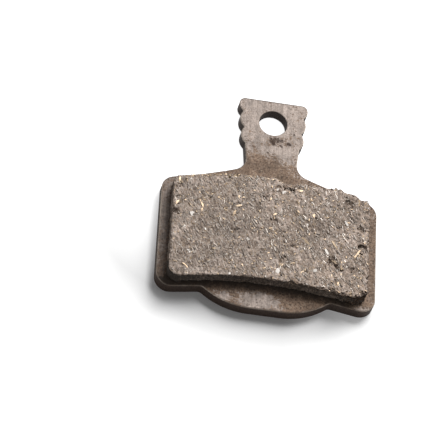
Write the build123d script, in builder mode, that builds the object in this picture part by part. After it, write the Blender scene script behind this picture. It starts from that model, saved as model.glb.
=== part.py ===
"""Bicycle disc brake pad: a stamped steel backing plate with a moulded friction block bonded to its face.

The origin is where the caliper piston's axis meets the back of the plate. With the tab up and the friction
block towards the viewer, +X is to the right, +Y runs up the tab and +Z comes out of the block. Sizes are in
millimetres.
"""

import os
from math import atan2, cos, radians, sin, sqrt, tan

from build123d import *

# Backing plate
plate_width = 32.5
plate_thickness = 1.85
edge_roll = 0.2  # rounding that stamping leaves along the outline of the friction side
bore_roll = 0.08  # the same round the bore

# Lower edge of the plate: a sloping edge at each side of a lobe that covers the piston
piston_radius = 11.0
lobe_flat = 4.8  # straight stretch at the bottom of the lobe
lower_drop = 9.48  # from the piston axis down to the plate's lower corners, before rounding
lower_slope = 8.8  # degrees, rising towards the lobe
lower_corner_radius = 2.2
lobe_notch_radius = 0.95  # hollow rounding where the lobe leaves the sloping edges

# Shoulders at each side of the tab, hollow towards the block
shoulder_height = 9.04  # from the piston axis up to the plate's upper corners, before rounding
shoulder_rise = 5.42  # from those corners to where the two shoulders would meet
shoulder_hollow = 0.47
upper_corner_radius = 2.1
foot_radius = 2.2  # hollow rounding at the foot of the tab

# Tab with a bore for the retaining screw and scalloped sides
bore_height = 21.15  # from the piston axis to the bore axis
bore_diameter = 4.3
tab_above_bore = 3.93
tab_width = 9.0  # between the two sides, level with the bore, without the scallops
tab_taper = 5.0  # degrees at each side
tab_corner_radius = 0.9
scallop_count = 3
scallop_pitch = 2.85
scallop_bulge = 0.54
top_scallop = 2.33  # from the tab's top edge to the first notch
notch_radius = 0.15

# Friction block
block_thickness = 2.1
block_side_margin = 1.45  # bare plate at each side of the block
block_upper_margin = 0.71  # from the plate's upper corners down to the block's
block_lower_margin = 0.74  # from the plate's lower corners up to the block's
block_upper_arch = 2.07
block_lower_arch = 1.74
block_upper_radius = 1.0
block_lower_radius = 1.5

# Break in the block's upper edge, right of the middle
edge_break_start = 0.2  # from the centreline to the break's left end
edge_break_lead = 1.9  # along the edge, from that end to the deepest stretch
edge_break_floor = 0.9  # length of the deepest stretch
edge_break_run_out = 2.6  # along the edge, from the deepest stretch to the right end
edge_break_bite = 1.3  # into the face
edge_break_slant = 45.0  # degrees from upright

# Break across the block's lower right corner
corner_break_run = 2.6  # along the lower edge
corner_break_rise = 1.8  # up the side
corner_break_slant = 18.0  # degrees from upright

# Larger pits torn out of the block's face: across and up from the piston axis, radius at the face, depth
pits = [
    (-14.3, 2.45, 0.5, 0.3),
    (-13.7, 6.9, 0.4, 0.15),
    (-1.0, 6.6, 0.45, 0.12),
    (0.3, 2.9, 0.5, 0.12),
    (0.8, 8.4, 0.4, 0.2),
    (1.5, 0.2, 0.45, 0.1),
    (1.5, -3.4, 0.5, 0.2),
    (4.2, -5.6, 0.4, 0.12),
    (5.6, 3.3, 0.45, 0.1),
    (8.2, 2.1, 0.5, 0.1),
    (9.2, -2.65, 0.55, 0.3),
    (9.9, -3.2, 0.55, 0.3),
    (11.35, 7.95, 0.35, 0.2),
    (12.4, -3.4, 0.45, 0.1),
    (13.6, 3.4, 0.45, 0.2),
    (13.8, 0.2, 0.5, 0.25),
]

touch = 1e-6  # how close a corner lies to the line it is chosen by

half_width = plate_width / 2
shoulder_peak = shoulder_height + shoulder_rise
lower_peak = half_width * tan(radians(lower_slope)) - lower_drop
tab_top = bore_height + tab_above_bore
lobe_reach = lobe_flat / 2 + piston_radius


def flank(height):
    """Point on the right side of the tab, without its scallops."""
    return (tab_width / 2 + (height - bore_height) * tan(radians(tab_taper)), height)


first_notch = tab_top - top_scallop
notches = [first_notch - i * scallop_pitch for i in range(scallop_count)]
flank_points = [flank(height) for height in [tab_top] + notches]
tab_root = flank(shoulder_height)


def below_axis(vertex):
    return vertex.Y < 0


def above_axis(vertex):
    return vertex.Y > 0


def at_side(vertex):
    return abs(abs(vertex.X) - half_width) < touch


def on_tab(vertex):
    return vertex.Y > shoulder_height and abs(vertex.X) < flank_points[0][0]


def at_notch(vertex):
    return any(abs(vertex.Y - height) < touch for height in notches)


with BuildPart() as backing_plate:
    with BuildSketch() as plate_outline:
        with BuildLine():
            SagittaArc((0, shoulder_peak), (half_width, shoulder_height), -shoulder_hollow)
            Line((half_width, shoulder_height), (half_width, -lower_drop))
            Line((half_width, -lower_drop), (0, lower_peak))
            mirror(about=Plane.YZ)
        make_face()
        # Lower half of the lobe under the piston
        with BuildLine():
            CenterArc((lobe_flat / 2, 0), piston_radius, -90, 90)
            mirror(about=Plane.YZ)
            Line((-lobe_flat / 2, -piston_radius), (lobe_flat / 2, -piston_radius))
            Line((-lobe_reach, 0), (lobe_reach, 0))
        make_face()
        fillet(plate_outline.vertices().filter_by(below_axis).group_by(Axis.Y)[-1], lobe_notch_radius)
        fillet(plate_outline.vertices().filter_by(below_axis).filter_by(at_side), lower_corner_radius)
        fillet(plate_outline.vertices().filter_by(above_axis).filter_by(at_side), upper_corner_radius)
        # Tab
        with BuildLine():
            for upper, lower in zip(flank_points, flank_points[1:]):
                SagittaArc(upper, lower, scallop_bulge)
            Line(flank_points[-1], tab_root)
            mirror(about=Plane.YZ)
            Line((-flank_points[0][0], tab_top), flank_points[0])
            Line((-tab_root[0], tab_root[1]), tab_root)
        make_face()
        fillet(plate_outline.vertices().filter_by(on_tab).group_by(Axis.Y)[0], foot_radius)
        fillet(plate_outline.vertices().filter_by(at_notch), notch_radius)
        fillet(plate_outline.vertices().group_by(Axis.Y)[-1], tab_corner_radius)
    extrude(amount=plate_thickness)
    with Locations((0, bore_height, plate_thickness)):
        Hole(bore_diameter / 2, depth=plate_thickness)
    friction_side = backing_plate.faces().sort_by(Axis.Z)[-1]
    fillet(friction_side.outer_wire().edges(), edge_roll)
    friction_side = backing_plate.faces().sort_by(Axis.Z)[-1]
    fillet(friction_side.inner_wires()[0].edges(), bore_roll)
backing_plate.part.label = "backing_plate"

block_half_width = half_width - block_side_margin
block_upper = shoulder_height - block_upper_margin
block_lower = block_lower_margin - lower_drop
block_peak = block_upper + block_upper_arch
block_face = plate_thickness + block_thickness
lower_arch_radius = (block_half_width**2 + block_lower_arch**2) / (2 * block_lower_arch)


def lower_edge(x):
    """Height of the block's arched lower edge."""
    return block_lower + block_lower_arch - lower_arch_radius + sqrt(lower_arch_radius**2 - x**2)


edge_break_floor_start = edge_break_start + edge_break_lead
edge_break_floor_end = edge_break_floor_start + edge_break_floor
corner_break_start = block_half_width - corner_break_run
corner_break_low = lower_edge(corner_break_start)
corner_break_high = block_lower + corner_break_rise
corner_break_climb = corner_break_high - corner_break_low
corner_break_turn = atan2(corner_break_run, corner_break_climb)


def slanted(direction, slant):
    """Unit vector down from the face that leans outwards by the slant, the direction being in the face."""
    return (direction[0] * sin(radians(slant)), direction[1] * sin(radians(slant)), -cos(radians(slant)))


with BuildPart() as friction_block:
    with BuildSketch(Plane.XY.offset(plate_thickness)) as block_outline:
        with BuildLine():
            SagittaArc((-block_half_width, block_upper), (block_half_width, block_upper), block_upper_arch)
            Line((block_half_width, block_upper), (block_half_width, block_lower))
            SagittaArc((block_half_width, block_lower), (-block_half_width, block_lower), -block_lower_arch)
            Line((-block_half_width, block_lower), (-block_half_width, block_upper))
        make_face()
        fillet(block_outline.vertices().group_by(Axis.Y)[-1], block_upper_radius)
        fillet(block_outline.vertices().group_by(Axis.Y)[0], block_lower_radius)
    extrude(amount=block_thickness)
    # The broken faces slant outwards from the face down to the plate
    with BuildSketch(Plane.XY.offset(block_face)):
        with BuildLine():
            Polyline(
                (edge_break_start - edge_break_lead, block_peak + edge_break_bite),
                (edge_break_floor_start, block_peak - edge_break_bite),
                (edge_break_floor_end, block_peak - edge_break_bite),
                (edge_break_floor_end + 2 * edge_break_run_out, block_peak + edge_break_bite),
                close=True,
            )
        make_face()
    edge_break_way = slanted((0, 1), edge_break_slant)
    extrude(amount=-block_thickness / edge_break_way[2], dir=edge_break_way, mode=Mode.SUBTRACT)
    with BuildSketch(Plane.XY.offset(block_face)):
        with BuildLine():
            Polyline(
                (corner_break_start - corner_break_run, corner_break_low - corner_break_climb),
                (block_half_width + corner_break_run, corner_break_low - corner_break_climb),
                (block_half_width + corner_break_run, corner_break_high + corner_break_climb),
                close=True,
            )
        make_face()
    corner_break_way = slanted((cos(corner_break_turn), -sin(corner_break_turn)), corner_break_slant)
    extrude(amount=-block_thickness / corner_break_way[2], dir=corner_break_way, mode=Mode.SUBTRACT)
    # Each pit is a shallow bowl
    for across, up, radius, depth in pits:
        bowl_radius = (radius**2 + depth**2) / (2 * depth)
        with Locations((across, up, block_face - depth + bowl_radius)):
            Sphere(bowl_radius, rotation=(90, 0, 0), mode=Mode.SUBTRACT)
friction_block.part.label = "friction_block"

os.makedirs("parts", exist_ok=True)
export_step(backing_plate.part, "parts/backing_plate.step")
export_step(friction_block.part, "parts/friction_block.step")
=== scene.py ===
"""Looks of a bicycle disc brake pad: a crumbly block of fibres and grains on a stained steel plate.

The values are in millimetres, in the CAD model's frame.
"""

import math
import random

import bmesh
import bpy
from mathutils import Matrix, Vector, kdtree, noise
from mathutils.bvhtree import BVHTree


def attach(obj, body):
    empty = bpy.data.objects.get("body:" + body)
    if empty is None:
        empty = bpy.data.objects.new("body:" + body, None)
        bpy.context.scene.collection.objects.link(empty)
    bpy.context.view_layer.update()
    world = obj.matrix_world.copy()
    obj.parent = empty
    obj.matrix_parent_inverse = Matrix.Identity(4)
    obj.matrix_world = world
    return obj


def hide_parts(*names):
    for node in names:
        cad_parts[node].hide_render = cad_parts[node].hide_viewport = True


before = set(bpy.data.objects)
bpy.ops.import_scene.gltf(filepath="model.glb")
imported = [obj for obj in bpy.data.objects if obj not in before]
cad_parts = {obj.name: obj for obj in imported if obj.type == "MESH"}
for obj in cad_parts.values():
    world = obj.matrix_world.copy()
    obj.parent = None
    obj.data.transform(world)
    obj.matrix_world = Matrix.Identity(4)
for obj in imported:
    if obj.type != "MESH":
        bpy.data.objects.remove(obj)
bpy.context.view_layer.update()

MM = 0.001
DICE_SEED = 7
NOISE_SEED = 4

# Sockets of a Mix node that mixes colours, and settings of one that makes a colour lighter or darker
FACTOR, A, B, RESULT = 0, 6, 7, 2
TINTED = {"data_type": "RGBA", "blend_type": "MULTIPLY"}

# The pad's own sizes
PLATE_TOP = 1.85
TAB_TOP = 25.08
FACE = 3.95
HALF_WIDTH = 14.8
LOWER_ARCH_RADIUS = 63.81
LOWER_ARCH_CENTRE = -7.0 - LOWER_ARCH_RADIUS
UPPER_ARCH_RADIUS = 53.94
UPPER_ARCH_CENTRE = 10.4 - UPPER_ARCH_RADIUS

# Friction block: how the moulded compound is broken up
VOXEL = 0.09
DEEPEST = 0.7  # what lies further below the face's plane belongs to the walls
TOP_SLACK = 0.1  # the mean surface lies this far below the face's plane, so that grains reach up to it
LEAST_DEPTH = 0.004  # and the highest grain at least this far
GRAIN_SIZE = 0.6
GRAIN_RELIEF = 0.062
CREVICE_DEPTH = 0.1
FIBRE_RELIEF = 0.058
FINE_RELIEF = 0.04
WAVE_RELIEF = 0.03
CHIP_LEAST = 0.06  # least width of the chipped edge
CHIP_SWING = 0.55
WALL_RELIEF = 0.15
WALL_FOOT = 0.25  # height of the torn strip along the plate
SMALL_PITS = 300
SMALL_PITS_LOW = -8.5  # lowest of them
SMALL_PITS_BAND = 18.5  # height of the band that they lie in
PIT_REACH = 2.4  # how far from its middle a pit can reach, in radii
BOWL_FILL = 0.45  # share of a larger pit's depth that dust fills
GROOVE_REACH = 0.13
GROOVE_DEPTH = 0.05
SMALL_TONE = 0.95  # brightest of the scattered slivers, the listed ones reaching 1
SLIVERS_LOW = -8.6  # lowest of the scattered slivers
SLIVERS_BAND = 18.8  # height of the band that they lie in
SLIVER_CUTS = 2
SLIVER_FORMS = [(0.0, 0.3), (0.25, 0.5), (-0.3, 0.6), (0.5, 0.35)]  # bend, and how much the ends narrow
FELT = [(-72, 0.25), (-57, 0.29), (60, 0.38), (10, 0.42)]  # turn in degrees, and how sparse the fibres are
FELT_LENGTH = 0.9
FELT_WIDTH = 0.16

# Pits in the face, the larger ones on top of the CAD block's bowls: x, y, radius, depth
PITS = [
    (-14.3, 2.4, 0.6, 0.3),
    (-13.95, 3.45, 0.26, 0.3),
    (-14.0, 4.9, 0.38, 0.25),
    (-13.7, 6.9, 0.38, 0.15),
    (-8.4, 8.2, 0.32, 0.2),
    (-6.7, 9.5, 0.26, 0.2),
    (-9.2, 5.5, 0.34, 0.22),
    (-6.2, 3.0, 0.36, 0.18),
    (-4.9, 2.3, 0.3, 0.2),
    (-5.2, 0.7, 0.26, 0.22),
    (-3.9, 5.0, 0.22, 0.2),
    (-1.0, 6.6, 0.45, 0.25),
    (0.3, 2.9, 0.5, 0.12),
    (0.8, 8.4, 0.4, 0.2),
    (1.25, 7.9, 0.3, 0.3),
    (2.0, 8.75, 0.36, 0.4),
    (2.85, 8.7, 0.42, 0.45),
    (3.8, 9.15, 0.3, 0.35),
    (3.7, 6.2, 0.32, 0.14),
    (5.6, 3.3, 0.45, 0.04),
    (6.75, 4.2, 0.26, 0.2),
    (8.1, 2.2, 0.5, 0.08),
    (9.0, 1.7, 0.3, 0.1),
    (11.35, 7.95, 0.36, 0.16),
    (11.1, 8.65, 0.22, 0.12),
    (13.0, 5.9, 0.3, 0.12),
    (13.6, 3.4, 0.4, 0.14),
    (13.8, 0.0, 0.45, 0.1),
    (13.4, -0.6, 0.28, 0.25),
    (1.5, 0.2, 0.45, 0.05),
    (3.4, -0.8, 0.28, 0.2),
    (1.5, -3.4, 0.5, 0.2),
    (9.1, -2.6, 0.45, 0.28),
    (9.8, -3.1, 0.45, 0.28),
    (10.3, -3.7, 0.38, 0.34),
    (10.1, -1.1, 0.32, 0.18),
    (12.4, -3.4, 0.45, 0.2),
    (4.2, -5.6, 0.4, 0.06),
    (9.9, -5.5, 0.36, 0.2),
    (-9.4, -5.5, 0.36, 0.22),
    (-8.8, -3.2, 0.26, 0.2),
]

# Lumps of compound that stand over the block's upper right edge: x, y, radius, reach
EDGE_LUMPS = [
    (8.4, 9.7, 0.5, 0.15),
    (9.5, 9.5, 0.75, 0.6),
    (10.4, 9.35, 0.5, 0.5),
    (11.2, 9.2, 0.4, 0.25),
    (11.9, 9.0, 0.5, 0.45),
    (12.6, 8.85, 0.4, 0.35),
    (14.4, 8.0, 0.5, 0.35),
]

# Brass slivers that show best: x, y, length, turn in degrees, width
BRASS = [
    (-13.85, 7.65, 1.1, 95, 0.32),
    (-13.35, 8.7, 0.5, -50, 0.24),
    (-11.15, 9.2, 0.5, 40, 0.24),
    (-10.5, 4.2, 1.3, -67, 0.34),
    (-10.25, 3.1, 0.8, 85, 0.42),
    (-14.05, 3.8, 0.8, 60, 0.28),
    (-8.0, 5.7, 0.4, 10, 0.28),
    (-9.0, 6.0, 0.35, 50, 0.24),
    (-7.05, 8.05, 0.6, 50, 0.24),
    (-4.95, 4.65, 0.8, 15, 0.3),
    (-5.9, 4.85, 0.45, 85, 0.26),
    (-5.55, 3.3, 1.1, 70, 0.3),
    (-4.9, 6.2, 0.5, 80, 0.26),
    (-4.4, 6.25, 0.45, 20, 0.26),
    (-2.6, 7.7, 0.6, 5, 0.2),
    (-0.3, 6.6, 0.5, 70, 0.28),
    (0.5, 4.1, 0.75, 45, 0.24),
    (-0.1, 1.55, 0.5, 30, 0.34),
    (13.05, 8.0, 1.1, 90, 0.28),
    (5.2, 0.25, 1.5, -42, 0.34),
    (6.35, 4.7, 0.6, 80, 0.32),
    (3.9, 5.05, 0.5, -45, 0.22),
    (9.4, 5.2, 0.5, 0, 0.26),
    (4.1, 8.75, 0.85, 5, 0.42),
    (4.5, 2.1, 0.7, -40, 0.24),
    (9.55, 0.2, 1.6, -54, 0.26),
    (13.95, 1.3, 0.6, 85, 0.22),
    (12.9, -0.8, 1.9, 60, 0.24),
    (13.25, -1.1, 0.8, 75, 0.22),
    (9.6, -2.55, 0.95, -28, 0.24),
    (10.6, -3.35, 0.8, 100, 0.28),
    (1.55, -4.3, 0.5, 45, 0.28),
    (3.4, -3.85, 0.7, 15, 0.2),
    (4.8, -5.0, 0.6, 40, 0.22),
    (2.5, -6.3, 0.7, 80, 0.2),
    (10.3, -6.1, 0.75, 80, 0.26),
    (12.0, -7.4, 0.5, 50, 0.26),
    (-10.15, -5.6, 0.75, 25, 0.3),
    (-8.25, -3.1, 0.6, 0, 0.2),
    (-12.4, -6.6, 1.05, -40, 0.2),
    (-4.0, -5.2, 0.5, -60, 0.24),
    (-0.8, -5.2, 0.5, 30, 0.22),
]

# Pale mineral grains that show best: x, y, length, turn in degrees, width
MINERAL = [
    (-13.0, -0.2, 0.69, -40, 0.49),
    (-12.0, -4.15, 0.57, -50, 0.44),
    (-11.0, -4.1, 0.69, 10, 0.39),
    (-12.0, -2.1, 0.57, 0, 0.44),
    (-3.25, -0.8, 0.8, -70, 0.44),
    (-7.6, 0.95, 0.63, 60, 0.42),
    (-11.7, 2.2, 0.69, 70, 0.52),
    (-9.8, 0.0, 0.52, -60, 0.34),
    (-6.5, -3.8, 0.46, 20, 0.36),
    (-1.2, -4.3, 0.52, 70, 0.34),
    (1.2, -5.4, 0.86, 75, 0.59),
    (6.7, -4.5, 0.57, 20, 0.44),
    (0.9, 8.5, 0.69, 35, 0.42),
    (1.75, 7.95, 0.63, 45, 0.42),
    (-12.2, 8.1, 0.46, 20, 0.36),
    (11.2, 4.2, 0.92, -55, 0.39),
    (8.35, -1.1, 0.92, -60, 0.39),
    (-5.9, -6.8, 0.46, 30, 0.39),
]

# Steel fibres that show best: x, y, length, turn in degrees, width
STEEL = [
    (-3.2, 5.3, 1.5, -42, 0.12),
    (-2.6, 2.1, 1.7, -60, 0.13),
    (-4.8, 7.4, 1.0, -55, 0.12),
    (-3.5, 3.1, 0.9, -55, 0.12),
    (-1.6, 2.0, 0.8, -50, 0.12),
    (4.4, 4.0, 1.3, -58, 0.12),
    (5.4, 2.6, 1.4, -60, 0.12),
    (10.9, 1.8, 1.3, -62, 0.12),
]

# Scattered slivers: how many, and the least and most of their length, width and turn in degrees
SMALL_BRASS = (460, (0.16, 0.48), (0.09, 0.19), (0, 180))
ALIGNED_STEEL = (1400, (0.3, 0.95), (0.05, 0.1), (-90, -42))
CROSSING_STEEL = (900, (0.2, 0.6), (0.05, 0.11), (0, 180))
SMALL_MINERAL = (520, (0.12, 0.32), (0.08, 0.2), (0, 180))
EDGE_BRASS = 40  # brass slivers along the upper edge

# Binder on the plate: middle, half width and half height of each patch, and how much more or less lies there
PLATE_FILMS = [
    ((0.4, 13.0), (4.4, 2.2), 0.35),
    ((0.9, 17.9), (2.4, 1.2), 0.3),
    ((-2.6, 15.6), (1.8, 1.8), 0.2),
    ((2.6, 15.2), (1.8, 1.6), -0.35),
    ((-6.5, -9.7), (1.5, 1.0), -0.6),
    ((-0.9, -9.8), (2.8, 1.4), -1.0),
    ((5.6, -9.0), (3.2, 1.6), 0.3),
    ((-15.6, 2.0), (1.0, 8.0), -0.6),
    ((14.7, -8.8), (1.6, 0.7), -0.45),
    ((4.4, 12.2), (2.4, 1.2), -0.2),
    ((15.5, 6.8), (0.8, 1.4), -0.25),
]

# Burnt drops under the bore: x, y, radius
BURNT_DROPS = [
    (0.0, 17.95, 0.44),
    (0.22, 17.5, 0.32),
    (0.32, 18.4, 0.3),
    (-0.2, 18.4, 0.24),
    (0.8, 18.5, 0.17),
    (0.86, 18.1, 0.32),
    (1.35, 18.15, 0.28),
    (1.25, 17.3, 0.2),
    (1.42, 17.12, 0.17),
    (2.36, 17.78, 0.28),
    (2.6, 17.7, 0.26),
    (-0.72, 15.75, 0.17),
    (3.28, 19.65, 0.15),
]

# Stage, in metres
FLOOR_REACH = 1.5
LAMP_PLACE = (0.26, 0.5, 0.5)
LAMP_SIZE = 0.42
LAMP_WATTS = 6.7
SURROUND_LIGHT = 0.18  # what the white surround gives as light, its own white being 1


def linear(text):
    """Linear colour of an sRGB hex value."""
    values = [int(text[i : i + 2], 16) / 255 for i in (1, 3, 5)]
    return tuple(v / 12.92 if v <= 0.04045 else ((v + 0.055) / 1.055) ** 2.4 for v in values) + (1.0,)


def add_node(tree, kind, inputs=None, output=0, **settings):
    """Adds a node, sets its properties, sets or links its inputs, and gives one of its outputs."""
    node = tree.nodes.new(kind)
    for name, value in settings.items():
        setattr(node, name, value)
    for name, value in (inputs or {}).items():
        if isinstance(value, bpy.types.NodeSocket):
            tree.links.new(value, node.inputs[name])
        else:
            node.inputs[name].default_value = value
    return node.outputs[output] if node.outputs else None


def start_material(name):
    """New material without nodes; gives the material, its tree and a place on the surface in millimetres."""
    material = bpy.data.materials.new(name)
    material.use_nodes = True
    tree = material.node_tree
    tree.nodes.clear()
    metres = add_node(tree, "ShaderNodeTexCoord", output="Object")
    place = add_node(tree, "ShaderNodeVectorMath", {0: metres, "Scale": 1 / MM}, operation="SCALE")
    return material, tree, place


def friction_compound():
    """Moulded friction compound: mineral powder, rubber dust and fibres in phenolic resin. It looks dull
    grey-brown and crumbly, with pale and dark grains, short felted fibres, and dark dust and painted shade
    in the hollows and down the walls."""
    material, tree, place = start_material("phenolic friction compound")

    # Patches of lighter and darker mix, 2.4 mm wide; changes over 1.1, 6 and 14 mm; and soft lumps of 0.5 mm
    cloud = add_node(tree, "ShaderNodeTexNoise", {"Vector": place, "Scale": 1 / 2.4, "Detail": 4.0})
    patch = add_node(tree, "ShaderNodeMapRange", {"Value": cloud, "From Min": 0.36, "From Max": 0.64})
    colour = add_node(
        tree,
        "ShaderNodeMix",
        {FACTOR: patch, A: linear("#85766a"), B: linear("#9f9086")},
        RESULT,
        data_type="RGBA",
    )
    levels = (
        (1.1, 1.0, 0.84, 1.16),
        (6.0, 1.0, 0.85, 1.15),
        (14.0, 1.0, 0.86, 1.14),
        (0.5, 2.0, 0.76, 1.32),
    )
    for size, detail, low, high in levels:
        cloud = add_node(tree, "ShaderNodeTexNoise", {"Vector": place, "Scale": 1 / size, "Detail": detail})
        level = add_node(
            tree,
            "ShaderNodeMapRange",
            {"Value": cloud, "From Min": 0.3, "From Max": 0.7, "To Min": low, "To Max": high},
        )
        colour = add_node(tree, "ShaderNodeMix", {FACTOR: 1.0, A: colour, B: level}, RESULT, **TINTED)

    # Grains, each with a brightness of its own, the dark ones browner and the light ones greyer
    for size, dark, light in ((0.4, 0.76, 1.38), (0.17, 0.67, 1.37)):
        cells = add_node(tree, "ShaderNodeTexVoronoi", {"Vector": place, "Scale": 1 / size}, "Color")
        tone = add_node(tree, "ShaderNodeSeparateColor", {"Color": cells}, "Red")
        level = add_node(
            tree,
            "ShaderNodeMix",
            {
                FACTOR: tone,
                A: (dark * 1.05, dark, dark * 0.95, 1),
                B: (light * 0.985, light, light * 1.01, 1),
            },
            RESULT,
            data_type="RGBA",
        )
        colour = add_node(tree, "ShaderNodeMix", {FACTOR: 1.0, A: colour, B: level}, RESULT, **TINTED)

    # Threads that lie mostly one way. Real ones are 0.05 mm thick, too fine to show, so these are coarser
    threads = ((-66, 1.3, 0.15, 0.31), (-53, 0.9, 0.13, 0.29), (60, 0.8, 0.14, 0.14))
    for turn, length, width, swing in threads:
        lying = add_node(
            tree,
            "ShaderNodeMapping",
            {"Vector": place, "Rotation": (0, 0, math.radians(turn)), "Scale": (length, width, 1.0)},
            vector_type="TEXTURE",
        )
        thread = add_node(tree, "ShaderNodeTexNoise", {"Vector": lying, "Scale": 1.0, "Detail": 2.0})
        level = add_node(
            tree,
            "ShaderNodeMapRange",
            {"Value": thread, "From Min": 0.3, "From Max": 0.7, "To Min": 1 - swing, "To Max": 1 + swing},
        )
        colour = add_node(tree, "ShaderNodeMix", {FACTOR: 1.0, A: colour, B: level}, RESULT, **TINTED)

    # Felted fibres, paler than the mix
    fibre = add_node(tree, "ShaderNodeAttribute", output="Fac", attribute_name="fibre")
    share = add_node(tree, "ShaderNodeMapRange", {"Value": fibre, "To Max": 0.7})
    colour = add_node(
        tree, "ShaderNodeMix", {FACTOR: share, A: colour, B: linear("#bcafa5")}, RESULT, data_type="RGBA"
    )

    # Brass dust and pale mineral dust, in cells 0.14 mm wide
    cells = add_node(tree, "ShaderNodeTexVoronoi", {"Vector": place, "Scale": 1 / 0.14}, "Color")
    for channel, rarest, speck in (("Green", 0.985, "#bda78b"), ("Blue", 0.975, "#d6cbc1")):
        pick = add_node(tree, "ShaderNodeSeparateColor", {"Color": cells}, channel)
        share = add_node(
            tree,
            "ShaderNodeMapRange",
            {"Value": pick, "From Min": rarest - 0.01, "From Max": rarest, "To Max": 0.7},
        )
        colour = add_node(
            tree, "ShaderNodeMix", {FACTOR: share, A: colour, B: linear(speck)}, RESULT, data_type="RGBA"
        )

    # Dark dust and painted shade, brown in the hollows of the face and black down the walls
    normal = add_node(tree, "ShaderNodeNewGeometry", output="Normal")
    outward = add_node(tree, "ShaderNodeSeparateXYZ", {"Vector": normal}, "Z")
    wall = add_node(tree, "ShaderNodeMapRange", {"Value": outward, "From Min": 0.6, "From Max": 0.3})
    dark_dust_and_shade = add_node(
        tree,
        "ShaderNodeMix",
        {FACTOR: wall, A: linear("#3c2919"), B: linear("#2e2823")},
        RESULT,
        data_type="RGBA",
    )
    dust_and_shade = add_node(tree, "ShaderNodeAttribute", output="Fac", attribute_name="dust_and_shade")
    share = add_node(tree, "ShaderNodeMapRange", {"Value": dust_and_shade}, interpolation_type="SMOOTHSTEP")
    colour = add_node(tree, "ShaderNodeMix", {FACTOR: share, A: colour, B: dark_dust_and_shade}, RESULT, data_type="RGBA")

    grit = add_node(tree, "ShaderNodeTexNoise", {"Vector": place, "Scale": 1 / 0.12, "Detail": 4.0})
    bump = add_node(tree, "ShaderNodeBump", {"Height": grit, "Strength": 0.3, "Distance": 0.06 * MM})
    shader = add_node(
        tree,
        "ShaderNodeBsdfPrincipled",
        {"Base Color": colour, "Roughness": 0.85, "Specular IOR Level": 0.3, "Normal": bump},
    )
    add_node(tree, "ShaderNodeOutputMaterial", {"Surface": shader})
    return material


def brass_sliver():
    """Chopped brass fibre: yellow metal scuffed by the rotor, brighter or duller from one to the next."""
    material, tree, place = start_material("chopped brass fibre")
    tone = add_node(tree, "ShaderNodeAttribute", output="Fac", attribute_name="tone")
    dull = add_node(tree, "ShaderNodeMapRange", {"Value": tone, "From Min": 0.05, "From Max": 0.45})
    colour = add_node(
        tree,
        "ShaderNodeMix",
        {FACTOR: dull, A: linear("#82715c"), B: linear("#9f8a72")},
        RESULT,
        data_type="RGBA",
    )
    brightest = add_node(tree, "ShaderNodeMapRange", {"Value": tone, "From Min": 0.45, "From Max": 0.95})
    colour = add_node(
        tree, "ShaderNodeMix", {FACTOR: brightest, A: colour, B: linear("#b8a48b")}, RESULT, data_type="RGBA"
    )
    grit = add_node(tree, "ShaderNodeTexNoise", {"Vector": place, "Scale": 1 / 0.22})
    scuff = add_node(
        tree, "ShaderNodeMapRange", {"Value": grit, "From Min": 0.47, "From Max": 0.64, "To Max": 0.65}
    )
    colour = add_node(
        tree, "ShaderNodeMix", {FACTOR: scuff, A: colour, B: linear("#7d6b56")}, RESULT, data_type="RGBA"
    )
    shader = add_node(
        tree, "ShaderNodeBsdfPrincipled", {"Base Color": colour, "Metallic": 0.7, "Roughness": 0.5}
    )
    add_node(tree, "ShaderNodeOutputMaterial", {"Surface": shader})
    return material


def steel_fibre():
    """Steel wool in the compound: thin grey metal threads, dull with dust, the brightest painted near white
    as glints, lying in the face.
    """
    material, tree, place = start_material("steel wool fibre")
    tone = add_node(tree, "ShaderNodeAttribute", output="Fac", attribute_name="tone")
    dull = add_node(tree, "ShaderNodeMapRange", {"Value": tone, "From Max": 0.7})
    colour = add_node(
        tree,
        "ShaderNodeMix",
        {FACTOR: dull, A: linear("#4a413b"), B: linear("#a99d92")},
        RESULT,
        data_type="RGBA",
    )
    # The brightest fibres go near white: painted glints
    brightest = add_node(tree, "ShaderNodeMapRange", {"Value": tone, "From Min": 0.7, "From Max": 0.95})
    colour = add_node(
        tree, "ShaderNodeMix", {FACTOR: brightest, A: colour, B: linear("#f2eae1")}, RESULT, data_type="RGBA"
    )
    grit = add_node(tree, "ShaderNodeTexNoise", {"Vector": place, "Scale": 1 / 0.3})
    scuff = add_node(
        tree, "ShaderNodeMapRange", {"Value": grit, "From Min": 0.4, "From Max": 0.65, "To Max": 0.4}
    )
    colour = add_node(
        tree, "ShaderNodeMix", {FACTOR: scuff, A: colour, B: linear("#857a70")}, RESULT, data_type="RGBA"
    )
    shader = add_node(
        tree, "ShaderNodeBsdfPrincipled", {"Base Color": colour, "Metallic": 0.4, "Roughness": 0.5}
    )
    add_node(tree, "ShaderNodeOutputMaterial", {"Surface": shader})
    return material


def mineral_grain():
    """Barytes filler: off-white grains with a dull broken surface."""
    material, tree, place = start_material("barytes grain")
    tone = add_node(tree, "ShaderNodeAttribute", output="Fac", attribute_name="tone")
    colour = add_node(
        tree,
        "ShaderNodeMix",
        {FACTOR: tone, A: linear("#a2968b"), B: linear("#fbf3ea")},
        RESULT,
        data_type="RGBA",
    )
    grit = add_node(tree, "ShaderNodeTexNoise", {"Vector": place, "Scale": 1 / 0.3})
    chip = add_node(
        tree, "ShaderNodeMapRange", {"Value": grit, "From Min": 0.5, "From Max": 0.75, "To Max": 0.3}
    )
    colour = add_node(
        tree, "ShaderNodeMix", {FACTOR: chip, A: colour, B: linear("#938679")}, RESULT, data_type="RGBA"
    )
    shader = add_node(tree, "ShaderNodeBsdfPrincipled", {"Base Color": colour, "Roughness": 0.6})
    add_node(tree, "ShaderNodeOutputMaterial", {"Surface": shader})
    return material


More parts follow.
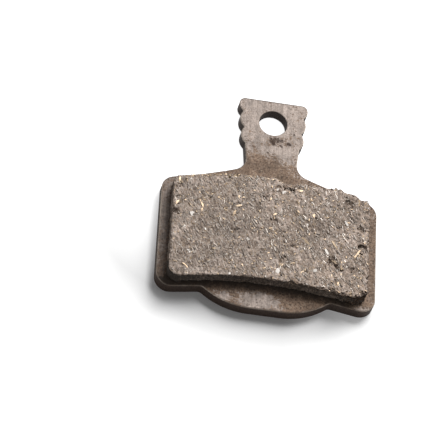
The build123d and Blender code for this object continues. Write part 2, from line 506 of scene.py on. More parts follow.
def stained_plate_steel():
    """Cold-rolled steel, stamped: a satin warm grey face, faintly mottled and lined along the tab, with
    brown specks and films of binder that thicken towards the block, burnt drops under the bore, edges black
    with scale, dust and painted shade against the block and down the left margin, painted shade on the
    tab's edges and along its top, and a painted highlight and shade on the rolled rim."""
    material, tree, place = start_material("cold-rolled plate steel")
    x, y, z = [add_node(tree, "ShaderNodeSeparateXYZ", {"Vector": place}, axis) for axis in "XYZ"]
    front = add_node(tree, "ShaderNodeMapRange", {"Value": z, "From Min": 0.9, "From Max": 1.5})
    swirl = add_node(tree, "ShaderNodeTexNoise", {"Vector": place, "Scale": 1 / 0.8, "Detail": 5.0}, "Color")
    swirl = add_node(
        tree,
        "ShaderNodeVectorMath",
        {0: swirl, 1: (1.6, 1.6, 0), 2: (-0.8, -0.8, 0)},
        operation="MULTIPLY_ADD",
    )
    ragged = add_node(tree, "ShaderNodeVectorMath", {0: place, 1: swirl}, operation="ADD")

    # Faint rolling lines along the tab, and mottles 0.3 and 1.3 mm wide
    along = add_node(
        tree, "ShaderNodeMapping", {"Vector": place, "Scale": (0.22, 7.0, 1.0)}, vector_type="TEXTURE"
    )
    line = add_node(tree, "ShaderNodeTexNoise", {"Vector": along, "Scale": 1.0})
    line = add_node(tree, "ShaderNodeMapRange", {"Value": line, "From Min": 0.3, "From Max": 0.7})
    grey = add_node(
        tree,
        "ShaderNodeMix",
        {FACTOR: line, A: linear("#6b615a"), B: linear("#857a73")},
        RESULT,
        data_type="RGBA",
    )
    for size, swing in ((0.3, 0.26), (1.3, 0.24)):
        cloud = add_node(tree, "ShaderNodeTexNoise", {"Vector": place, "Scale": 1 / size, "Detail": 4.0})
        level = add_node(
            tree,
            "ShaderNodeMapRange",
            {"Value": cloud, "From Min": 0.3, "From Max": 0.7, "To Min": 1 - swing, "To Max": 1 + swing},
        )
        grey = add_node(tree, "ShaderNodeMix", {FACTOR: 1.0, A: grey, B: level}, RESULT, **TINTED)

    # How much binder lies where: a trace round the bore, more down the neck, most at the foot and lower
    # down, changed by the listed patches and ragged at 2.2, 0.7 and 0.26 mm
    film = add_node(
        tree,
        "ShaderNodeMapRange",
        {"Value": y, "From Min": 18.5, "From Max": 10.5, "To Min": 0.18, "To Max": 0.9},
        interpolation_type="SMOOTHSTEP",
    )
    for (middle_x, middle_y), (half_width, half_height), amount in PLATE_FILMS:
        middle = add_node(
            tree,
            "ShaderNodeMapping",
            {"Vector": ragged, "Location": (middle_x, middle_y, 0), "Scale": (half_width, half_height, 100)},
            vector_type="TEXTURE",
        )
        away = add_node(tree, "ShaderNodeVectorMath", {0: middle}, "Value", operation="LENGTH")
        more = add_node(
            tree, "ShaderNodeMapRange", {"Value": away, "From Min": 1.5, "From Max": 0.4, "To Max": amount}
        )
        film = add_node(tree, "ShaderNodeMath", {0: film, 1: more}, operation="ADD")
    for size, swing in ((2.2, 1.0), (0.7, 1.3), (0.26, 2.0)):
        cloud = add_node(tree, "ShaderNodeTexNoise", {"Vector": place, "Scale": 1 / size, "Detail": 4.0})
        more = add_node(
            tree, "ShaderNodeMapRange", {"Value": cloud, "To Min": -swing / 2, "To Max": swing / 2}
        )
        film = add_node(tree, "ShaderNodeMath", {0: film, 1: more}, operation="ADD")
    film = add_node(
        tree,
        "ShaderNodeMapRange",
        {"Value": film, "From Min": 0.34, "From Max": 0.82, "To Max": 0.95},
        interpolation_type="SMOOTHSTEP",
    )
    film = add_node(tree, "ShaderNodeMath", {0: film, 1: front}, operation="MULTIPLY")
    fine = add_node(tree, "ShaderNodeTexNoise", {"Vector": place, "Scale": 1 / 0.22, "Detail": 4.0})
    grit = add_node(tree, "ShaderNodeMapRange", {"Value": fine, "From Min": 0.3, "From Max": 0.7})
    brown = add_node(
        tree,
        "ShaderNodeMix",
        {FACTOR: grit, A: linear("#4c392c"), B: linear("#977f6b")},
        RESULT,
        data_type="RGBA",
    )
    cloud = add_node(tree, "ShaderNodeTexNoise", {"Vector": place, "Scale": 1 / 1.8, "Detail": 5.0})
    level = add_node(
        tree,
        "ShaderNodeMapRange",
        {"Value": cloud, "From Min": 0.3, "From Max": 0.7, "To Min": 0.72, "To Max": 1.28},
    )
    brown = add_node(tree, "ShaderNodeMix", {FACTOR: 1.0, A: brown, B: level}, RESULT, **TINTED)
    colour = add_node(tree, "ShaderNodeMix", {FACTOR: film, A: grey, B: brown}, RESULT, data_type="RGBA")

    # Pale crumbs in the film, in cells 0.26 mm wide
    cells = add_node(tree, "ShaderNodeTexVoronoi", {"Vector": place, "Scale": 1 / 0.26}, "Color")
    pick = add_node(tree, "ShaderNodeSeparateColor", {"Color": cells}, "Green")
    pale = add_node(
        tree, "ShaderNodeMapRange", {"Value": pick, "From Min": 0.88, "From Max": 0.95, "To Max": 0.45}
    )
    pale = add_node(tree, "ShaderNodeMath", {0: pale, 1: film}, operation="MULTIPLY")
    colour = add_node(
        tree, "ShaderNodeMix", {FACTOR: pale, A: colour, B: linear("#ab9886")}, RESULT, data_type="RGBA"
    )

    # Grey dust and painted shade down the left margin, darker towards its lower end
    left = add_node(tree, "ShaderNodeMapRange", {"Value": x, "From Min": -14.2, "From Max": -14.8})
    lower = add_node(
        tree,
        "ShaderNodeMapRange",
        {"Value": y, "From Min": 8.5, "From Max": -7.0, "To Min": 0.3, "To Max": 0.55},
    )
    cloud = add_node(tree, "ShaderNodeTexNoise", {"Vector": place, "Scale": 1 / 0.4, "Detail": 4.0})
    uneven = add_node(
        tree,
        "ShaderNodeMapRange",
        {"Value": cloud, "From Min": 0.3, "From Max": 0.7, "To Min": 0.35, "To Max": 1.3},
    )
    dust_and_shade_left = left
    for share in (lower, uneven, front):
        dust_and_shade_left = add_node(tree, "ShaderNodeMath", {0: dust_and_shade_left, 1: share}, operation="MULTIPLY")
    colour = add_node(
        tree, "ShaderNodeMix", {FACTOR: dust_and_shade_left, A: colour, B: linear("#382e29")}, RESULT, data_type="RGBA"
    )

    # Black dust and painted shade against the front of the block, ragged, and a little against its left side
    reach = add_node(
        tree,
        "ShaderNodeVectorMath",
        {0: ragged, 1: (0, LOWER_ARCH_CENTRE, PLATE_TOP)},
        "Value",
        operation="DISTANCE",
    )
    packed_dust_and_shade = add_node(
        tree,
        "ShaderNodeMapRange",
        {"Value": reach, "From Min": LOWER_ARCH_RADIUS - 1.6, "From Max": LOWER_ARCH_RADIUS, "To Max": 0.9},
        interpolation_type="SMOOTHSTEP",
    )
    under = add_node(
        tree,
        "ShaderNodeMapRange",
        {"Value": reach, "From Min": LOWER_ARCH_RADIUS + 1.4, "From Max": LOWER_ARCH_RADIUS + 1.0},
    )
    inside = add_node(tree, "ShaderNodeMapRange", {"Value": x, "From Min": 14.0, "From Max": 11.5})
    for share in (under, inside):
        packed_dust_and_shade = add_node(tree, "ShaderNodeMath", {0: packed_dust_and_shade, 1: share}, operation="MULTIPLY")
    dust_and_shade_beside = add_node(
        tree,
        "ShaderNodeMapRange",
        {"Value": x, "From Min": -16.0, "From Max": -15.0, "To Max": 0.15},
        interpolation_type="SMOOTHSTEP",
    )
    under = add_node(tree, "ShaderNodeMapRange", {"Value": x, "From Min": -14.4, "From Max": -14.7})
    below = add_node(tree, "ShaderNodeMapRange", {"Value": y, "From Min": 9.0, "From Max": 6.5})
    for share in (under, below):
        dust_and_shade_beside = add_node(tree, "ShaderNodeMath", {0: dust_and_shade_beside, 1: share}, operation="MULTIPLY")
    packed_dust_and_shade = add_node(tree, "ShaderNodeMath", {0: packed_dust_and_shade, 1: dust_and_shade_beside}, operation="MAXIMUM")
    packed_dust_and_shade = add_node(tree, "ShaderNodeMath", {0: packed_dust_and_shade, 1: front}, operation="MULTIPLY")
    colour = add_node(
        tree, "ShaderNodeMix", {FACTOR: packed_dust_and_shade, A: colour, B: linear("#2a231e")}, RESULT, data_type="RGBA"
    )

    # Dark crumbs of compound rubbed into the lower half
    pick = add_node(tree, "ShaderNodeSeparateColor", {"Color": cells}, "Red")
    crumb = add_node(
        tree, "ShaderNodeMapRange", {"Value": pick, "From Min": 0.88, "From Max": 0.95, "To Max": 0.6}
    )
    low = add_node(tree, "ShaderNodeMapRange", {"Value": y, "From Min": 17.5, "From Max": 11.0})
    for share in (low, front):
        crumb = add_node(tree, "ShaderNodeMath", {0: crumb, 1: share}, operation="MULTIPLY")
    colour = add_node(
        tree, "ShaderNodeMix", {FACTOR: crumb, A: colour, B: linear("#33291f")}, RESULT, data_type="RGBA"
    )

    # Burnt drops
    jagged = add_node(
        tree, "ShaderNodeVectorMath", {0: swirl, 1: (0.4, 0.4, 0), 2: place}, operation="MULTIPLY_ADD"
    )
    drops = 0.0
    for drop_x, drop_y, radius in BURNT_DROPS:
        away = add_node(
            tree,
            "ShaderNodeVectorMath",
            {0: jagged, 1: (drop_x, drop_y, PLATE_TOP)},
            "Value",
            operation="DISTANCE",
        )
        drop = add_node(
            tree,
            "ShaderNodeMapRange",
            {"Value": away, "From Min": radius * 1.3, "From Max": radius * 0.6, "To Max": 0.95},
        )
        drops = add_node(tree, "ShaderNodeMath", {0: drops, 1: drop}, operation="MAXIMUM")
    burnt = add_node(tree, "ShaderNodeTexNoise", {"Vector": place, "Scale": 1 / 0.3, "Detail": 3.0})
    burnt = add_node(
        tree, "ShaderNodeMapRange", {"Value": burnt, "From Min": 0.35, "From Max": 0.5, "To Min": 0.5}
    )
    drops = add_node(tree, "ShaderNodeMath", {0: drops, 1: burnt}, operation="MULTIPLY")
    colour = add_node(
        tree, "ShaderNodeMix", {FACTOR: drops, A: colour, B: linear("#332013")}, RESULT, data_type="RGBA"
    )

    # Painted highlight on the rolled rim, brightest at the sides, and painted shade on it towards the top
    normal = add_node(tree, "ShaderNodeNewGeometry", output="Normal")
    sideways, upward, outward = [
        add_node(tree, "ShaderNodeSeparateXYZ", {"Vector": normal}, axis) for axis in "XYZ"
    ]
    upright = add_node(tree, "ShaderNodeMath", {0: outward}, operation="ABSOLUTE")
    rim = add_node(
        tree, "ShaderNodeMapRange", {"Value": upright, "From Min": 0.998, "From Max": 0.95, "To Max": 0.85}
    )
    inner = add_node(tree, "ShaderNodeMapRange", {"Value": upright, "From Min": 0.2, "From Max": 0.45})
    cloud = add_node(tree, "ShaderNodeTexNoise", {"Vector": place, "Scale": 1 / 1.2, "Detail": 4.0})
    patchy = add_node(
        tree, "ShaderNodeMapRange", {"Value": cloud, "From Min": 0.4, "From Max": 0.6, "To Min": 0.4}
    )
    for share in (inner, patchy):
        rim = add_node(tree, "ShaderNodeMath", {0: rim, 1: share}, operation="MULTIPLY")
    top = add_node(tree, "ShaderNodeMapRange", {"Value": upward, "From Min": 0.05, "From Max": 0.35})
    sideways = add_node(tree, "ShaderNodeMath", {0: sideways}, operation="ABSOLUTE")
    side = add_node(tree, "ShaderNodeMapRange", {"Value": sideways, "From Min": 0.1, "From Max": 0.35})
    painted_rim_highlight_and_shade = add_node(
        tree,
        "ShaderNodeMix",
        {FACTOR: side, A: linear("#7d7167"), B: linear("#b8ab9e")},
        RESULT,
        data_type="RGBA",
    )
    painted_rim_highlight_and_shade = add_node(
        tree, "ShaderNodeMix", {FACTOR: top, A: painted_rim_highlight_and_shade, B: linear("#352b26")}, RESULT, data_type="RGBA"
    )
    colour = add_node(tree, "ShaderNodeMix", {FACTOR: rim, A: colour, B: painted_rim_highlight_and_shade}, RESULT, data_type="RGBA")

    # The cut edges are black with scale and painted shade, blackest on the tab, where the extra darkening is
    # painted shade
    edge = add_node(tree, "ShaderNodeMapRange", {"Value": upright, "From Min": 0.4, "From Max": 0.15})
    scale = add_node(
        tree,
        "ShaderNodeMix",
        {FACTOR: grit, A: linear("#251b16"), B: linear("#493b33")},
        RESULT,
        data_type="RGBA",
    )
    painted_shade_on_tab = add_node(
        tree, "ShaderNodeMapRange", {"Value": y, "From Min": 11.0, "From Max": 15.0, "To Max": 0.55}
    )
    scale = add_node(
        tree, "ShaderNodeMix", {FACTOR: painted_shade_on_tab, A: scale, B: linear("#1a110c")}, RESULT, data_type="RGBA"
    )
    colour = add_node(tree, "ShaderNodeMix", {FACTOR: edge, A: colour, B: scale}, RESULT, data_type="RGBA")

    # A line of painted shade along the top of the tab
    painted_shade_at_crest = add_node(
        tree,
        "ShaderNodeMapRange",
        {"Value": y, "From Min": TAB_TOP - 0.3, "From Max": TAB_TOP - 0.15, "To Max": 0.75},
    )
    painted_shade_at_crest = add_node(tree, "ShaderNodeMath", {0: painted_shade_at_crest, 1: patchy}, operation="MULTIPLY")
    colour = add_node(
        tree, "ShaderNodeMix", {FACTOR: painted_shade_at_crest, A: colour, B: linear("#3d332d")}, RESULT, data_type="RGBA"
    )

    # Where no film, dust, drops, scale or painted shade covers the steel it is more of a metal, and smoother
    covered = film
    for cover in (packed_dust_and_shade, dust_and_shade_left, drops, edge, painted_shade_at_crest):
        covered = add_node(tree, "ShaderNodeMath", {0: covered, 1: cover}, operation="MAXIMUM")
    bare = add_node(tree, "ShaderNodeMapRange", {"Value": covered, "To Min": 0.5, "To Max": 0.1})
    gloss = add_node(tree, "ShaderNodeMapRange", {"Value": covered, "To Min": 0.52, "To Max": 0.7})
    bump = add_node(tree, "ShaderNodeBump", {"Height": grit, "Strength": 0.3, "Distance": 0.04 * MM})
    shader = add_node(
        tree,
        "ShaderNodeBsdfPrincipled",
        {
            "Base Color": colour,
            "Metallic": bare,
            "Roughness": gloss,
            "Specular IOR Level": 0.25,
            "Normal": bump,
        },
    )
    add_node(tree, "ShaderNodeOutputMaterial", {"Surface": shader})
    return material


def seen_itself(tree):
    """1 for a ray that shows the surface itself, also in a metal, and 0 for one that gathers light."""
    seen = 0.0
    for ray in ("Is Camera Ray", "Is Glossy Ray", "Is Transmission Ray"):
        path = add_node(tree, "ShaderNodeLightPath", output=ray)
        seen = add_node(tree, "ShaderNodeMath", {0: seen, 1: path}, operation="MAXIMUM")
    return seen


def studio_paper():
    """White paper sweep, lit from behind: matt white, with a glow seen by camera and glossy rays, painted
    light that leaves the pad's shadow deepest close in front of it and paler behind, to the right and
    further out."""
    material, tree, place = start_material("white studio paper")
    seen = seen_itself(tree)
    x, y = [add_node(tree, "ShaderNodeSeparateXYZ", {"Vector": place}, axis) for axis in "XY"]
    back = add_node(
        tree,
        "ShaderNodeMapRange",
        {"Value": y, "From Min": -9.0, "From Max": 16.0, "To Min": 0.01, "To Max": 0.93},
    )
    # How far out a place lies, in half widths of an oval round the plate's lower half
    oval = add_node(
        tree,
        "ShaderNodeMapping",
        {"Vector": place, "Location": (0, -2, 0), "Scale": (17, 10, 1)},
        vector_type="TEXTURE",
    )
    away = add_node(tree, "ShaderNodeVectorMath", {0: oval}, "Value", operation="LENGTH")
    clear = add_node(
        tree,
        "ShaderNodeMapRange",
        {"Value": away, "From Min": 1.05, "From Max": 1.75, "To Max": 0.5},
        interpolation_type="SMOOTHSTEP",
    )
    back = add_node(tree, "ShaderNodeMath", {0: back, 1: clear}, operation="MAXIMUM")
    right = add_node(
        tree, "ShaderNodeMapRange", {"Value": x, "From Min": 3.0, "From Max": 14.0, "To Max": 0.2}
    )
    back = add_node(tree, "ShaderNodeMath", {0: back, 1: right}, operation="ADD")
    # Painted light: the glow pales the pad's shadow
    shadow_paling_glow = add_node(tree, "ShaderNodeMath", {0: seen, 1: back}, operation="MULTIPLY")
    paper = add_node(tree, "ShaderNodeBsdfDiffuse", {"Color": linear("#f2f2f2")})
    glow = add_node(tree, "ShaderNodeEmission", {"Strength": shadow_paling_glow})
    both = add_node(tree, "ShaderNodeAddShader", {0: paper, 1: glow})
    add_node(tree, "ShaderNodeOutputMaterial", {"Surface": both})
    return material


def place_mesh(name, mesh, material, slot=None, smooth=True):
    """Object at the origin for a finished mesh, shaded smooth or flat; with a slot it rides on the pad."""
    piece = bpy.data.objects.new(name, mesh)
    bpy.context.collection.objects.link(piece)
    mesh.materials.append(material)
    for polygon in mesh.polygons:
        polygon.use_smooth = smooth
    if slot:
        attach(piece, "root")
    return piece


def even_block():
    """The CAD block's mesh in millimetres, remeshed to even small faces, as a bmesh."""
    mesh = bpy.data.meshes.new("even_block")
    bm = bmesh.new()
    bm.from_mesh(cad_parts["friction_block"].data)
    bmesh.ops.remove_doubles(bm, verts=bm.verts, dist=1e-7)
    bmesh.ops.scale(bm, vec=Vector((1, 1, 1)) / MM, verts=bm.verts)
    bm.to_mesh(mesh)
    bm.free()
    holder = bpy.data.objects.new("even_block", mesh)
    bpy.context.collection.objects.link(holder)
    remesh = holder.modifiers.new("even", "REMESH")
    remesh.mode = "VOXEL"
    remesh.voxel_size = VOXEL
    graph = bpy.context.evaluated_depsgraph_get()
    even = bpy.data.meshes.new_from_object(holder.evaluated_get(graph))
    bm = bmesh.new()
    bm.from_mesh(even)
    bpy.data.objects.remove(holder)
    bpy.data.meshes.remove(mesh)
    bpy.data.meshes.remove(even)
    return bm


def clamp(value):
    """The value, held between 0 and 1."""
    return min(1.0, max(0.0, value))


def flat_tree(verts):
    """Search tree of the points as seen from above."""
    tree = kdtree.KDTree(len(verts))
    for i, v in enumerate(verts):
        tree.insert((v.co.x, v.co.y, 0), i)
    tree.balance()
    return tree


def packed_grains(point):
    """Relief of the grains at a point of the face: height from -1 to 1, and how near a crevice it is."""
    bent = point + 0.35 * noise.noise_vector(point * 1.1)
    near, centres = noise.voronoi(bent / GRAIN_SIZE)
    height = noise.cell(centres[0] * 7.3) * (1 - near[0])
    gap = max(0.0, 1 - (near[1] - near[0]) / 0.18)
    return height, gap * max(0.0, noise.cell(centres[0] * 3.1 + centres[1] * 3.1))


def felted_fibres(point):
    """How strongly a fibre of the felt shows at a point of the face, from 0 to 1."""
    felt = 0.0
    for turn, share in FELT:
        along = point @ Matrix.Rotation(math.radians(turn), 3, "Z")
        thread = noise.noise(Vector((along.x / FELT_LENGTH, along.y / FELT_WIDTH, turn)))
        felt = max(felt, min(1.0, (thread - share) * 4))
    return felt


def warp_bowls(bm):
    """Pulls the round bowls of the CAD block's larger pits out of shape, lays some dust in them, and gives
    the points in and round them."""
    bm.normal_update()
    tops = [v for v in bm.verts if v.normal.z > 0.15 and v.co.z > FACE - DEEPEST]
    flat = flat_tree(tops)
    bowls = set()
    for x, y, radius, _ in PITS:
        for point, i, away in flat.find_range((x, y, 0), PIT_REACH * radius):
            pull = 0.6 * noise.noise_vector(point * 1.2) + 0.15 * noise.noise_vector(point * 4.1)
            share = 1 - (away / (PIT_REACH * radius)) ** 2
            tops[i].co += radius * share * Vector((pull.x, pull.y, 0))
            tops[i].co.z += BOWL_FILL * (FACE - tops[i].co.z)
            if abs(point.x) < HALF_WIDTH - 0.3:
                bowls.add(tops[i])
    return bowls


def swell_edges(bm):
    """Pushes the listed lumps out over the upper edge, most at the face and not at all at the plate."""
    for v in bm.verts:
        for x, y, radius, reach in EDGE_LUMPS:
            away = math.hypot(v.co.x - x, v.co.y - y) / (1.5 * radius)
            if away < 1:
                v.co.y += reach * (1 - away**2) * min(1.0, (v.co.z - PLATE_TOP) / 1.4)


def chip_edges(bm):
    """Breaks the sharp edge of the face into a chipped slope of uneven width, wider towards the right."""
    bm.normal_update()
    rim = [v for v in bm.verts if 0.2 < v.normal.z < 0.96 and v.co.z > FACE - 1.6 * VOXEL]
    outward = [Vector((v.normal.x, v.normal.y, 0)).normalized() for v in rim]
    edge = kdtree.KDTree(len(rim))
    for i, v in enumerate(rim):
        edge.insert(v.co, i)
    edge.balance()
    for v in bm.verts:
        _, i, near = edge.find(v.co)
        chips = max(0.0, noise.noise(v.co * 0.9) - 0.1) + 0.6 * max(0.0, noise.noise(v.co * 3.1))
        width = CHIP_LEAST + CHIP_SWING * chips * (1.0 + 0.6 * math.tanh(v.co.x / 3))
        if near < width:
            v.co -= (width - near) * (0.5 * outward[i] + Vector((0, 0, 0.62)))
    bm.normal_update()


def face_relief(point):
    """Depth of the face at a point, how dark it is there with dust and painted shade, deeper hollows darker,
    and how much fibre shows; it is rougher and less felted towards the right."""
    right = math.tanh(point.x / 5)
    rough = 0.93 + 0.1 * right
    height, crevice = packed_grains(point)
    felt = min(1.0, felted_fibres(point) * (0.95 - 0.3 * right))
    drop = CREVICE_DEPTH * crevice - GRAIN_RELIEF * height - FIBRE_RELIEF * felt
    drop = (drop - FINE_RELIEF * noise.noise(point * 7)) * rough
    drop -= WAVE_RELIEF * noise.fractal(point * 0.8, 0.8, 2.0, 3)
    # Dust and painted shade: darker in crevices and hollows, and the further below the face a point lies
    dust_and_shade = max(0.0, (drop - 0.01) / 0.28 + 0.35 * crevice) + max(0.0, FACE - 0.2 - point.z) / 1.5
    return max(TOP_SLACK + drop, LEAST_DEPTH), dust_and_shade, felt


def wall_relief(point):
    """Depth of a wall at a point and how dark it is there; it is torn most along its foot and at the right
    end of the front. The darkness is dust and painted shade: a painted shadow black along the foot, painted
    shade darkest towards the ends of the front, lighter lower down to offset the shade there."""
    lumps = noise.fractal(point * 1.4, 0.6, 2.0, 5)
    crumbs = noise.noise(point * 4.5)
    foot = max(0.0, 1 - (point.z - PLATE_TOP) / WALL_FOOT)
    torn = 1 + 1.6 * clamp((point.x - 8.0) / 4) * clamp(-point.y / 3)
    depth = torn * WALL_RELIEF * (0.6 + lumps) - 0.05 * crumbs
    depth += 0.12 * foot * (0.2 + noise.noise(point * 1.3))
    below = max(0.0, FACE - point.z)
    left = clamp((-14.2 - point.x) / 0.4) * clamp((point.y + 6.5) / 2)
    painted_shade_at_ends = max(0.0, abs(point.x) - 9.0) / 5.0 * (1 - left)
    # Dust and painted shade: black along the foot, darker towards the front's ends, lighter lower down and
    # on the left wall
    dark_dust_and_shade = 0.89 - 0.18 * below - 0.1 * lumps - 0.25 * crumbs + foot + 0.25 * painted_shade_at_ends - 0.2 * left
    return max(depth, 0.0), min(1.0, below / 0.1) * min(1.0, max(0.3, dark_dust_and_shade))


def roughen(bm, bowls, dust_and_shade_layer, fibre_layer):
    """Gives the face and its bowls their grains, fibres and waves, and the walls their lumps."""
    moves = []
    for v in bm.verts:
        share = clamp((v.normal.z - 0.25) / 0.5)
        if v in bowls and share > 0:
            share = 1.0
        top = face_relief(v.co) if share > 0 else (0.0, 0.0, 0.0)
        side = wall_relief(v.co) if share < 1 else (0.0, 0.0)
        way = v.normal if share > 0 else Vector((v.normal.x, v.normal.y, 0)).normalized()
        v[dust_and_shade_layer] = min(1.0, share * top[1] + (1 - share) * side[1])
        v[fibre_layer] = share * top[2]
        moves.append((share * top[0] + (1 - share) * side[0]) * way)
    for v, move in zip(bm.verts, moves):
        v.co -= move
        v.co.z = min(v.co.z, FACE)


def tear_pits(tops, flat, dice, dust_and_shade_layer, fibre_layer):
    """Tears the listed pits out of the face, then smaller ones, more of them towards the right."""
    small = []
    for _ in range(SMALL_PITS):
        x = HALF_WIDTH * (2 * dice.random() - 1)
        y = SMALL_PITS_LOW + SMALL_PITS_BAND * dice.random()
        if dice.random() < 0.4 + 0.6 * (x + HALF_WIDTH) / (2 * HALF_WIDTH):
            small.append((x, y, 0.12 + 0.22 * dice.random(), 0.03 + 0.09 * dice.random()))
    for x, y, radius, depth in PITS + small:
        for point, i, _ in flat.find_range((x, y, 0), radius * PIT_REACH):
            v = tops[i]
            torn = 1.1 * noise.noise_vector(point * 1.9) + 0.8 * noise.noise_vector(point * 5.3)
            away = math.hypot(point.x - x + radius * torn.x, point.y - y + radius * torn.y) / radius
            if away < 1:
                sink = depth * (1 - away**2) * (1 + 0.6 * noise.noise(point * 8))
                v.co.z -= sink
                # Darken the pit with dust and painted shade, more the deeper it sinks
                v[dust_and_shade_layer] = max(v[dust_and_shade_layer], min(0.3 + 1.6 * sink, v[dust_and_shade_layer] + sink / 0.5))
                v[fibre_layer] *= away


def cut_grooves(tops, flat, slivers, dust_and_shade_layer):
    """Sinks the face a little along the lower side of each sliver and paints a shadow there."""
    for x, y, length, turn, width in slivers:
        way = Vector((math.cos(math.radians(turn)), math.sin(math.radians(turn)), 0))
        side = Vector((way.y, -way.x, 0))
        if side.y > 0:
            side.negate()
        steps = max(1, round(length / 0.12))
        for step in range(steps + 1):
            middle = Vector((x, y, 0)) + way * length * (step / steps - 0.5) + side * (0.5 * width + 0.08)
            for _, i, away in flat.find_range(middle, GROOVE_REACH):
                share = 1 - away / GROOVE_REACH
                tops[i].co.z -= GROOVE_DEPTH * share / 2
                # Painted shadow beside the sliver
                tops[i][dust_and_shade_layer] = min(1.0, tops[i][dust_and_shade_layer] + 0.16 * share)


def crumble(bm, dice, slivers):
    """Turns the even block into broken compound, and keeps its dust and painted shade and its fibres as
    attributes.
    """
    dust_and_shade_layer = bm.verts.layers.float.new("dust_and_shade")
    fibre_layer = bm.verts.layers.float.new("fibre")
    bowls = warp_bowls(bm)
    swell_edges(bm)
    chip_edges(bm)
    roughen(bm, bowls, dust_and_shade_layer, fibre_layer)
    tops = [v for v in bm.verts if v.normal.z > 0.5 and v.co.z > FACE - 4 * VOXEL]
    flat = flat_tree(tops)
    tear_pits(tops, flat, dice, dust_and_shade_layer, fibre_layer)
    cut_grooves(tops, flat, slivers, dust_and_shade_layer)


def trim_seat(bm):
    """Replaces the many small faces of the bonded underside by one face."""
    low = [f for f in bm.faces if f.calc_center_median().z < PLATE_TOP + 0.3 * VOXEL and f.normal.z < -0.5]
    bmesh.ops.delete(bm, geom=low, context="FACES")
    rim = [e for e in bm.edges if e.is_boundary]
    bmesh.ops.edgeloop_fill(bm, edges=rim)
    for v in {v for e in rim for v in e.verts}:
        v.co.z = PLATE_TOP


def sliver_shape(bend, taper):
    """Mesh of one sliver, one unit long, wide and thick, a little bent and narrower at its ends."""
    bm = bmesh.new()
    bmesh.ops.create_cube(bm, size=1)
    along = [e for e in bm.edges if abs(e.verts[0].co.x - e.verts[1].co.x) > 0.5]
    bmesh.ops.subdivide_edges(bm, edges=along, cuts=SLIVER_CUTS, use_grid_fill=True)
    for v in bm.verts:
        reach = abs(v.co.x) * 2
        v.co.y = v.co.y * (1 - taper * reach**2) + bend * (1 - reach**2)
        v.co.z *= 1 - 0.5 * taper * reach**2
    mesh = bpy.data.meshes.new("sliver")
    bm.to_mesh(mesh)
    bm.free()
    return mesh


def lay_slivers(name, listed, small, shapes, dice, surface, material, thickness, stand, bright):
    """One mesh of slivers, each sunk in the block's face so that only its top stands out."""
    bm = bmesh.new()
    tone_layer = bm.verts.layers.float.new("tone")
    down = Vector((0, 0, -1))
    for i, (x, y, length, turn, width) in enumerate(listed + small):
        tilt = Matrix.Rotation(0.06 * dice.uniform(-1, 1), 4, "Y")
        roll = Matrix.Rotation(0.35 * dice.uniform(-1, 1), 4, "X")
        form = dice.choice(shapes)
        tone = dice.uniform(*bright)
        if i >= len(listed):
            tone = SMALL_TONE * dice.random() ** 1.2 * (0.91 + 0.1 * math.tanh(x / 5))
        above = Vector((x, y, FACE + 1))
        reach = 0.5 * length * Vector((math.cos(math.radians(turn)), math.sin(math.radians(turn)), 0))
        spots = [surface.ray_cast(above + way, down)[0] for way in (Vector(), reach, -reach)]
        if any(spot is None or spot.z < FACE - DEEPEST for spot in spots):
            continue
        top = min(spots[0].z + stand, FACE)
        turned = Matrix.Rotation(math.radians(turn), 4, "Z")
        size = Matrix.Diagonal((length, width, thickness, 1))
        shape = form.copy()
        shape.transform(Matrix.Translation((x, y, top - 0.5 * thickness)) @ turned @ tilt @ roll @ size)
        known = len(bm.verts)
        bm.from_mesh(shape)
        bm.verts.ensure_lookup_table()
        for v in bm.verts[known:]:
            v[tone_layer] = tone
        bpy.data.meshes.remove(shape)
    for v in bm.verts:
        v.co.z = min(v.co.z, FACE)
    bmesh.ops.scale(bm, vec=Vector((MM, MM, MM)), verts=bm.verts)
    bmesh.ops.recalc_face_normals(bm, faces=bm.faces)
    mesh = bpy.data.meshes.new(name)
    bm.to_mesh(mesh)
    bm.free()
    return place_mesh(name, mesh, material, "friction_compound", smooth=False)


def scattered(dice, count, length, width, turns):
    """Random slivers over the block's face: x, y, length, turn and width of each."""
    places = []
    for _ in range(count):
        x = (HALF_WIDTH - 0.2) * (2 * dice.random() - 1)
        y = SLIVERS_LOW + SLIVERS_BAND * dice.random()
        places.append((x, y, dice.uniform(*length), dice.uniform(*turns), dice.uniform(*width)))
    return places


def along_upper_edge(dice):
    """Random brass slivers laid bare along the block's upper edge, up to the break."""
    places = []
    for _ in range(EDGE_BRASS):
        x = dice.uniform(-13.0, 3.0)
        y = UPPER_ARCH_CENTRE + math.sqrt(UPPER_ARCH_RADIUS**2 - x**2) - dice.uniform(0.2, 0.5)
        places.append((x, y, dice.uniform(0.2, 0.45), dice.uniform(-40, 40), dice.uniform(0.1, 0.18)))
    return places


noise.seed_set(NOISE_SEED)
dice = random.Random(DICE_SEED)
brass = BRASS + along_upper_edge(dice)
small_brass = scattered(dice, *SMALL_BRASS)
small_steel = scattered(dice, *ALIGNED_STEEL) + scattered(dice, *CROSSING_STEEL)
small_mineral = scattered(dice, *SMALL_MINERAL)

block = even_block()
crumble(block, dice, brass + MINERAL + STEEL + small_brass + small_mineral + small_steel)
trim_seat(block)
surface = BVHTree.FromBMesh(block)
bmesh.ops.scale(block, vec=Vector((MM, MM, MM)), verts=block.verts)
block_mesh = bpy.data.meshes.new("friction_block_face")
block.to_mesh(block_mesh)
block.free()
friction_block = place_mesh("friction_block_face", block_mesh, friction_compound(), "friction_compound")
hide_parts("friction_block")

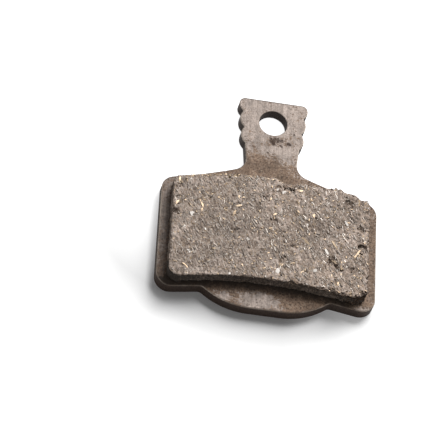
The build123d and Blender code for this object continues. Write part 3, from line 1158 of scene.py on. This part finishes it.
# Name, listed slivers, scattered ones, material, thickness, how far they stand out, tone of the listed ones
layers = [
    ("brass_slivers", brass, small_brass, brass_sliver(), 0.14, 0.04, (0.5, 1.0)),
    ("steel_fibres", STEEL, small_steel, steel_fibre(), 0.1, 0.035, (0.6, 0.8)),
    ("mineral_grains", MINERAL, small_mineral, mineral_grain(), 0.16, 0.03, (0.85, 1.0)),
]
shapes = [sliver_shape(bend, taper) for bend, taper in SLIVER_FORMS]
for name, listed, small, material, thickness, stand, bright in layers:
    lay_slivers(name, listed, small, shapes, dice, surface, material, thickness, stand, bright)
for shape in shapes:
    bpy.data.meshes.remove(shape)

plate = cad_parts["backing_plate"]
plate.data.materials.clear()
plate.data.materials.append(stained_plate_steel())

# Stage: white paper, a soft lamp behind and above to the right, and an even white surround
floor_mesh = bpy.data.meshes.new("studio_floor")
floor_bm = bmesh.new()
bmesh.ops.create_grid(floor_bm, x_segments=1, y_segments=1, size=FLOOR_REACH)
floor_bm.to_mesh(floor_mesh)
floor_bm.free()
floor = place_mesh("studio_floor", floor_mesh, studio_paper())

world = bpy.context.scene.world or bpy.data.worlds.new("studio")
bpy.context.scene.world = world
world.use_nodes = True
tree = world.node_tree
tree.nodes.clear()
level = add_node(
    tree, "ShaderNodeMapRange", {"Value": seen_itself(tree), "To Min": SURROUND_LIGHT, "To Max": 1.0}
)
sky = add_node(tree, "ShaderNodeBackground", {"Color": linear("#ffffff"), "Strength": level})
add_node(tree, "ShaderNodeOutputWorld", {"Surface": sky})

lamp_data = bpy.data.lights.new("softbox", "AREA")
lamp_data.shape = "SQUARE"
lamp_data.size = LAMP_SIZE
lamp_data.energy = LAMP_WATTS
lamp = bpy.data.objects.new("softbox", lamp_data)
lamp.location = LAMP_PLACE
lamp.rotation_euler = (-lamp.location).to_track_quat("-Z", "Y").to_euler()
bpy.context.collection.objects.link(lamp)

# Camera, as fitted to the photograph
camera_data = bpy.data.cameras.new("camera")
camera_data.sensor_width = 36
camera_data.lens = 217.67
camera_data.clip_start = 0.01
camera = bpy.data.objects.new("camera", camera_data)
camera.location = (-60.679 * MM, -193.077 * MM, 323.927 * MM)
camera.rotation_euler = (math.radians(30.6035), math.radians(-10.9073), math.radians(2.7808))
bpy.context.collection.objects.link(camera)
bpy.context.scene.camera = camera
bpy.context.scene.view_settings.view_transform = "Standard"
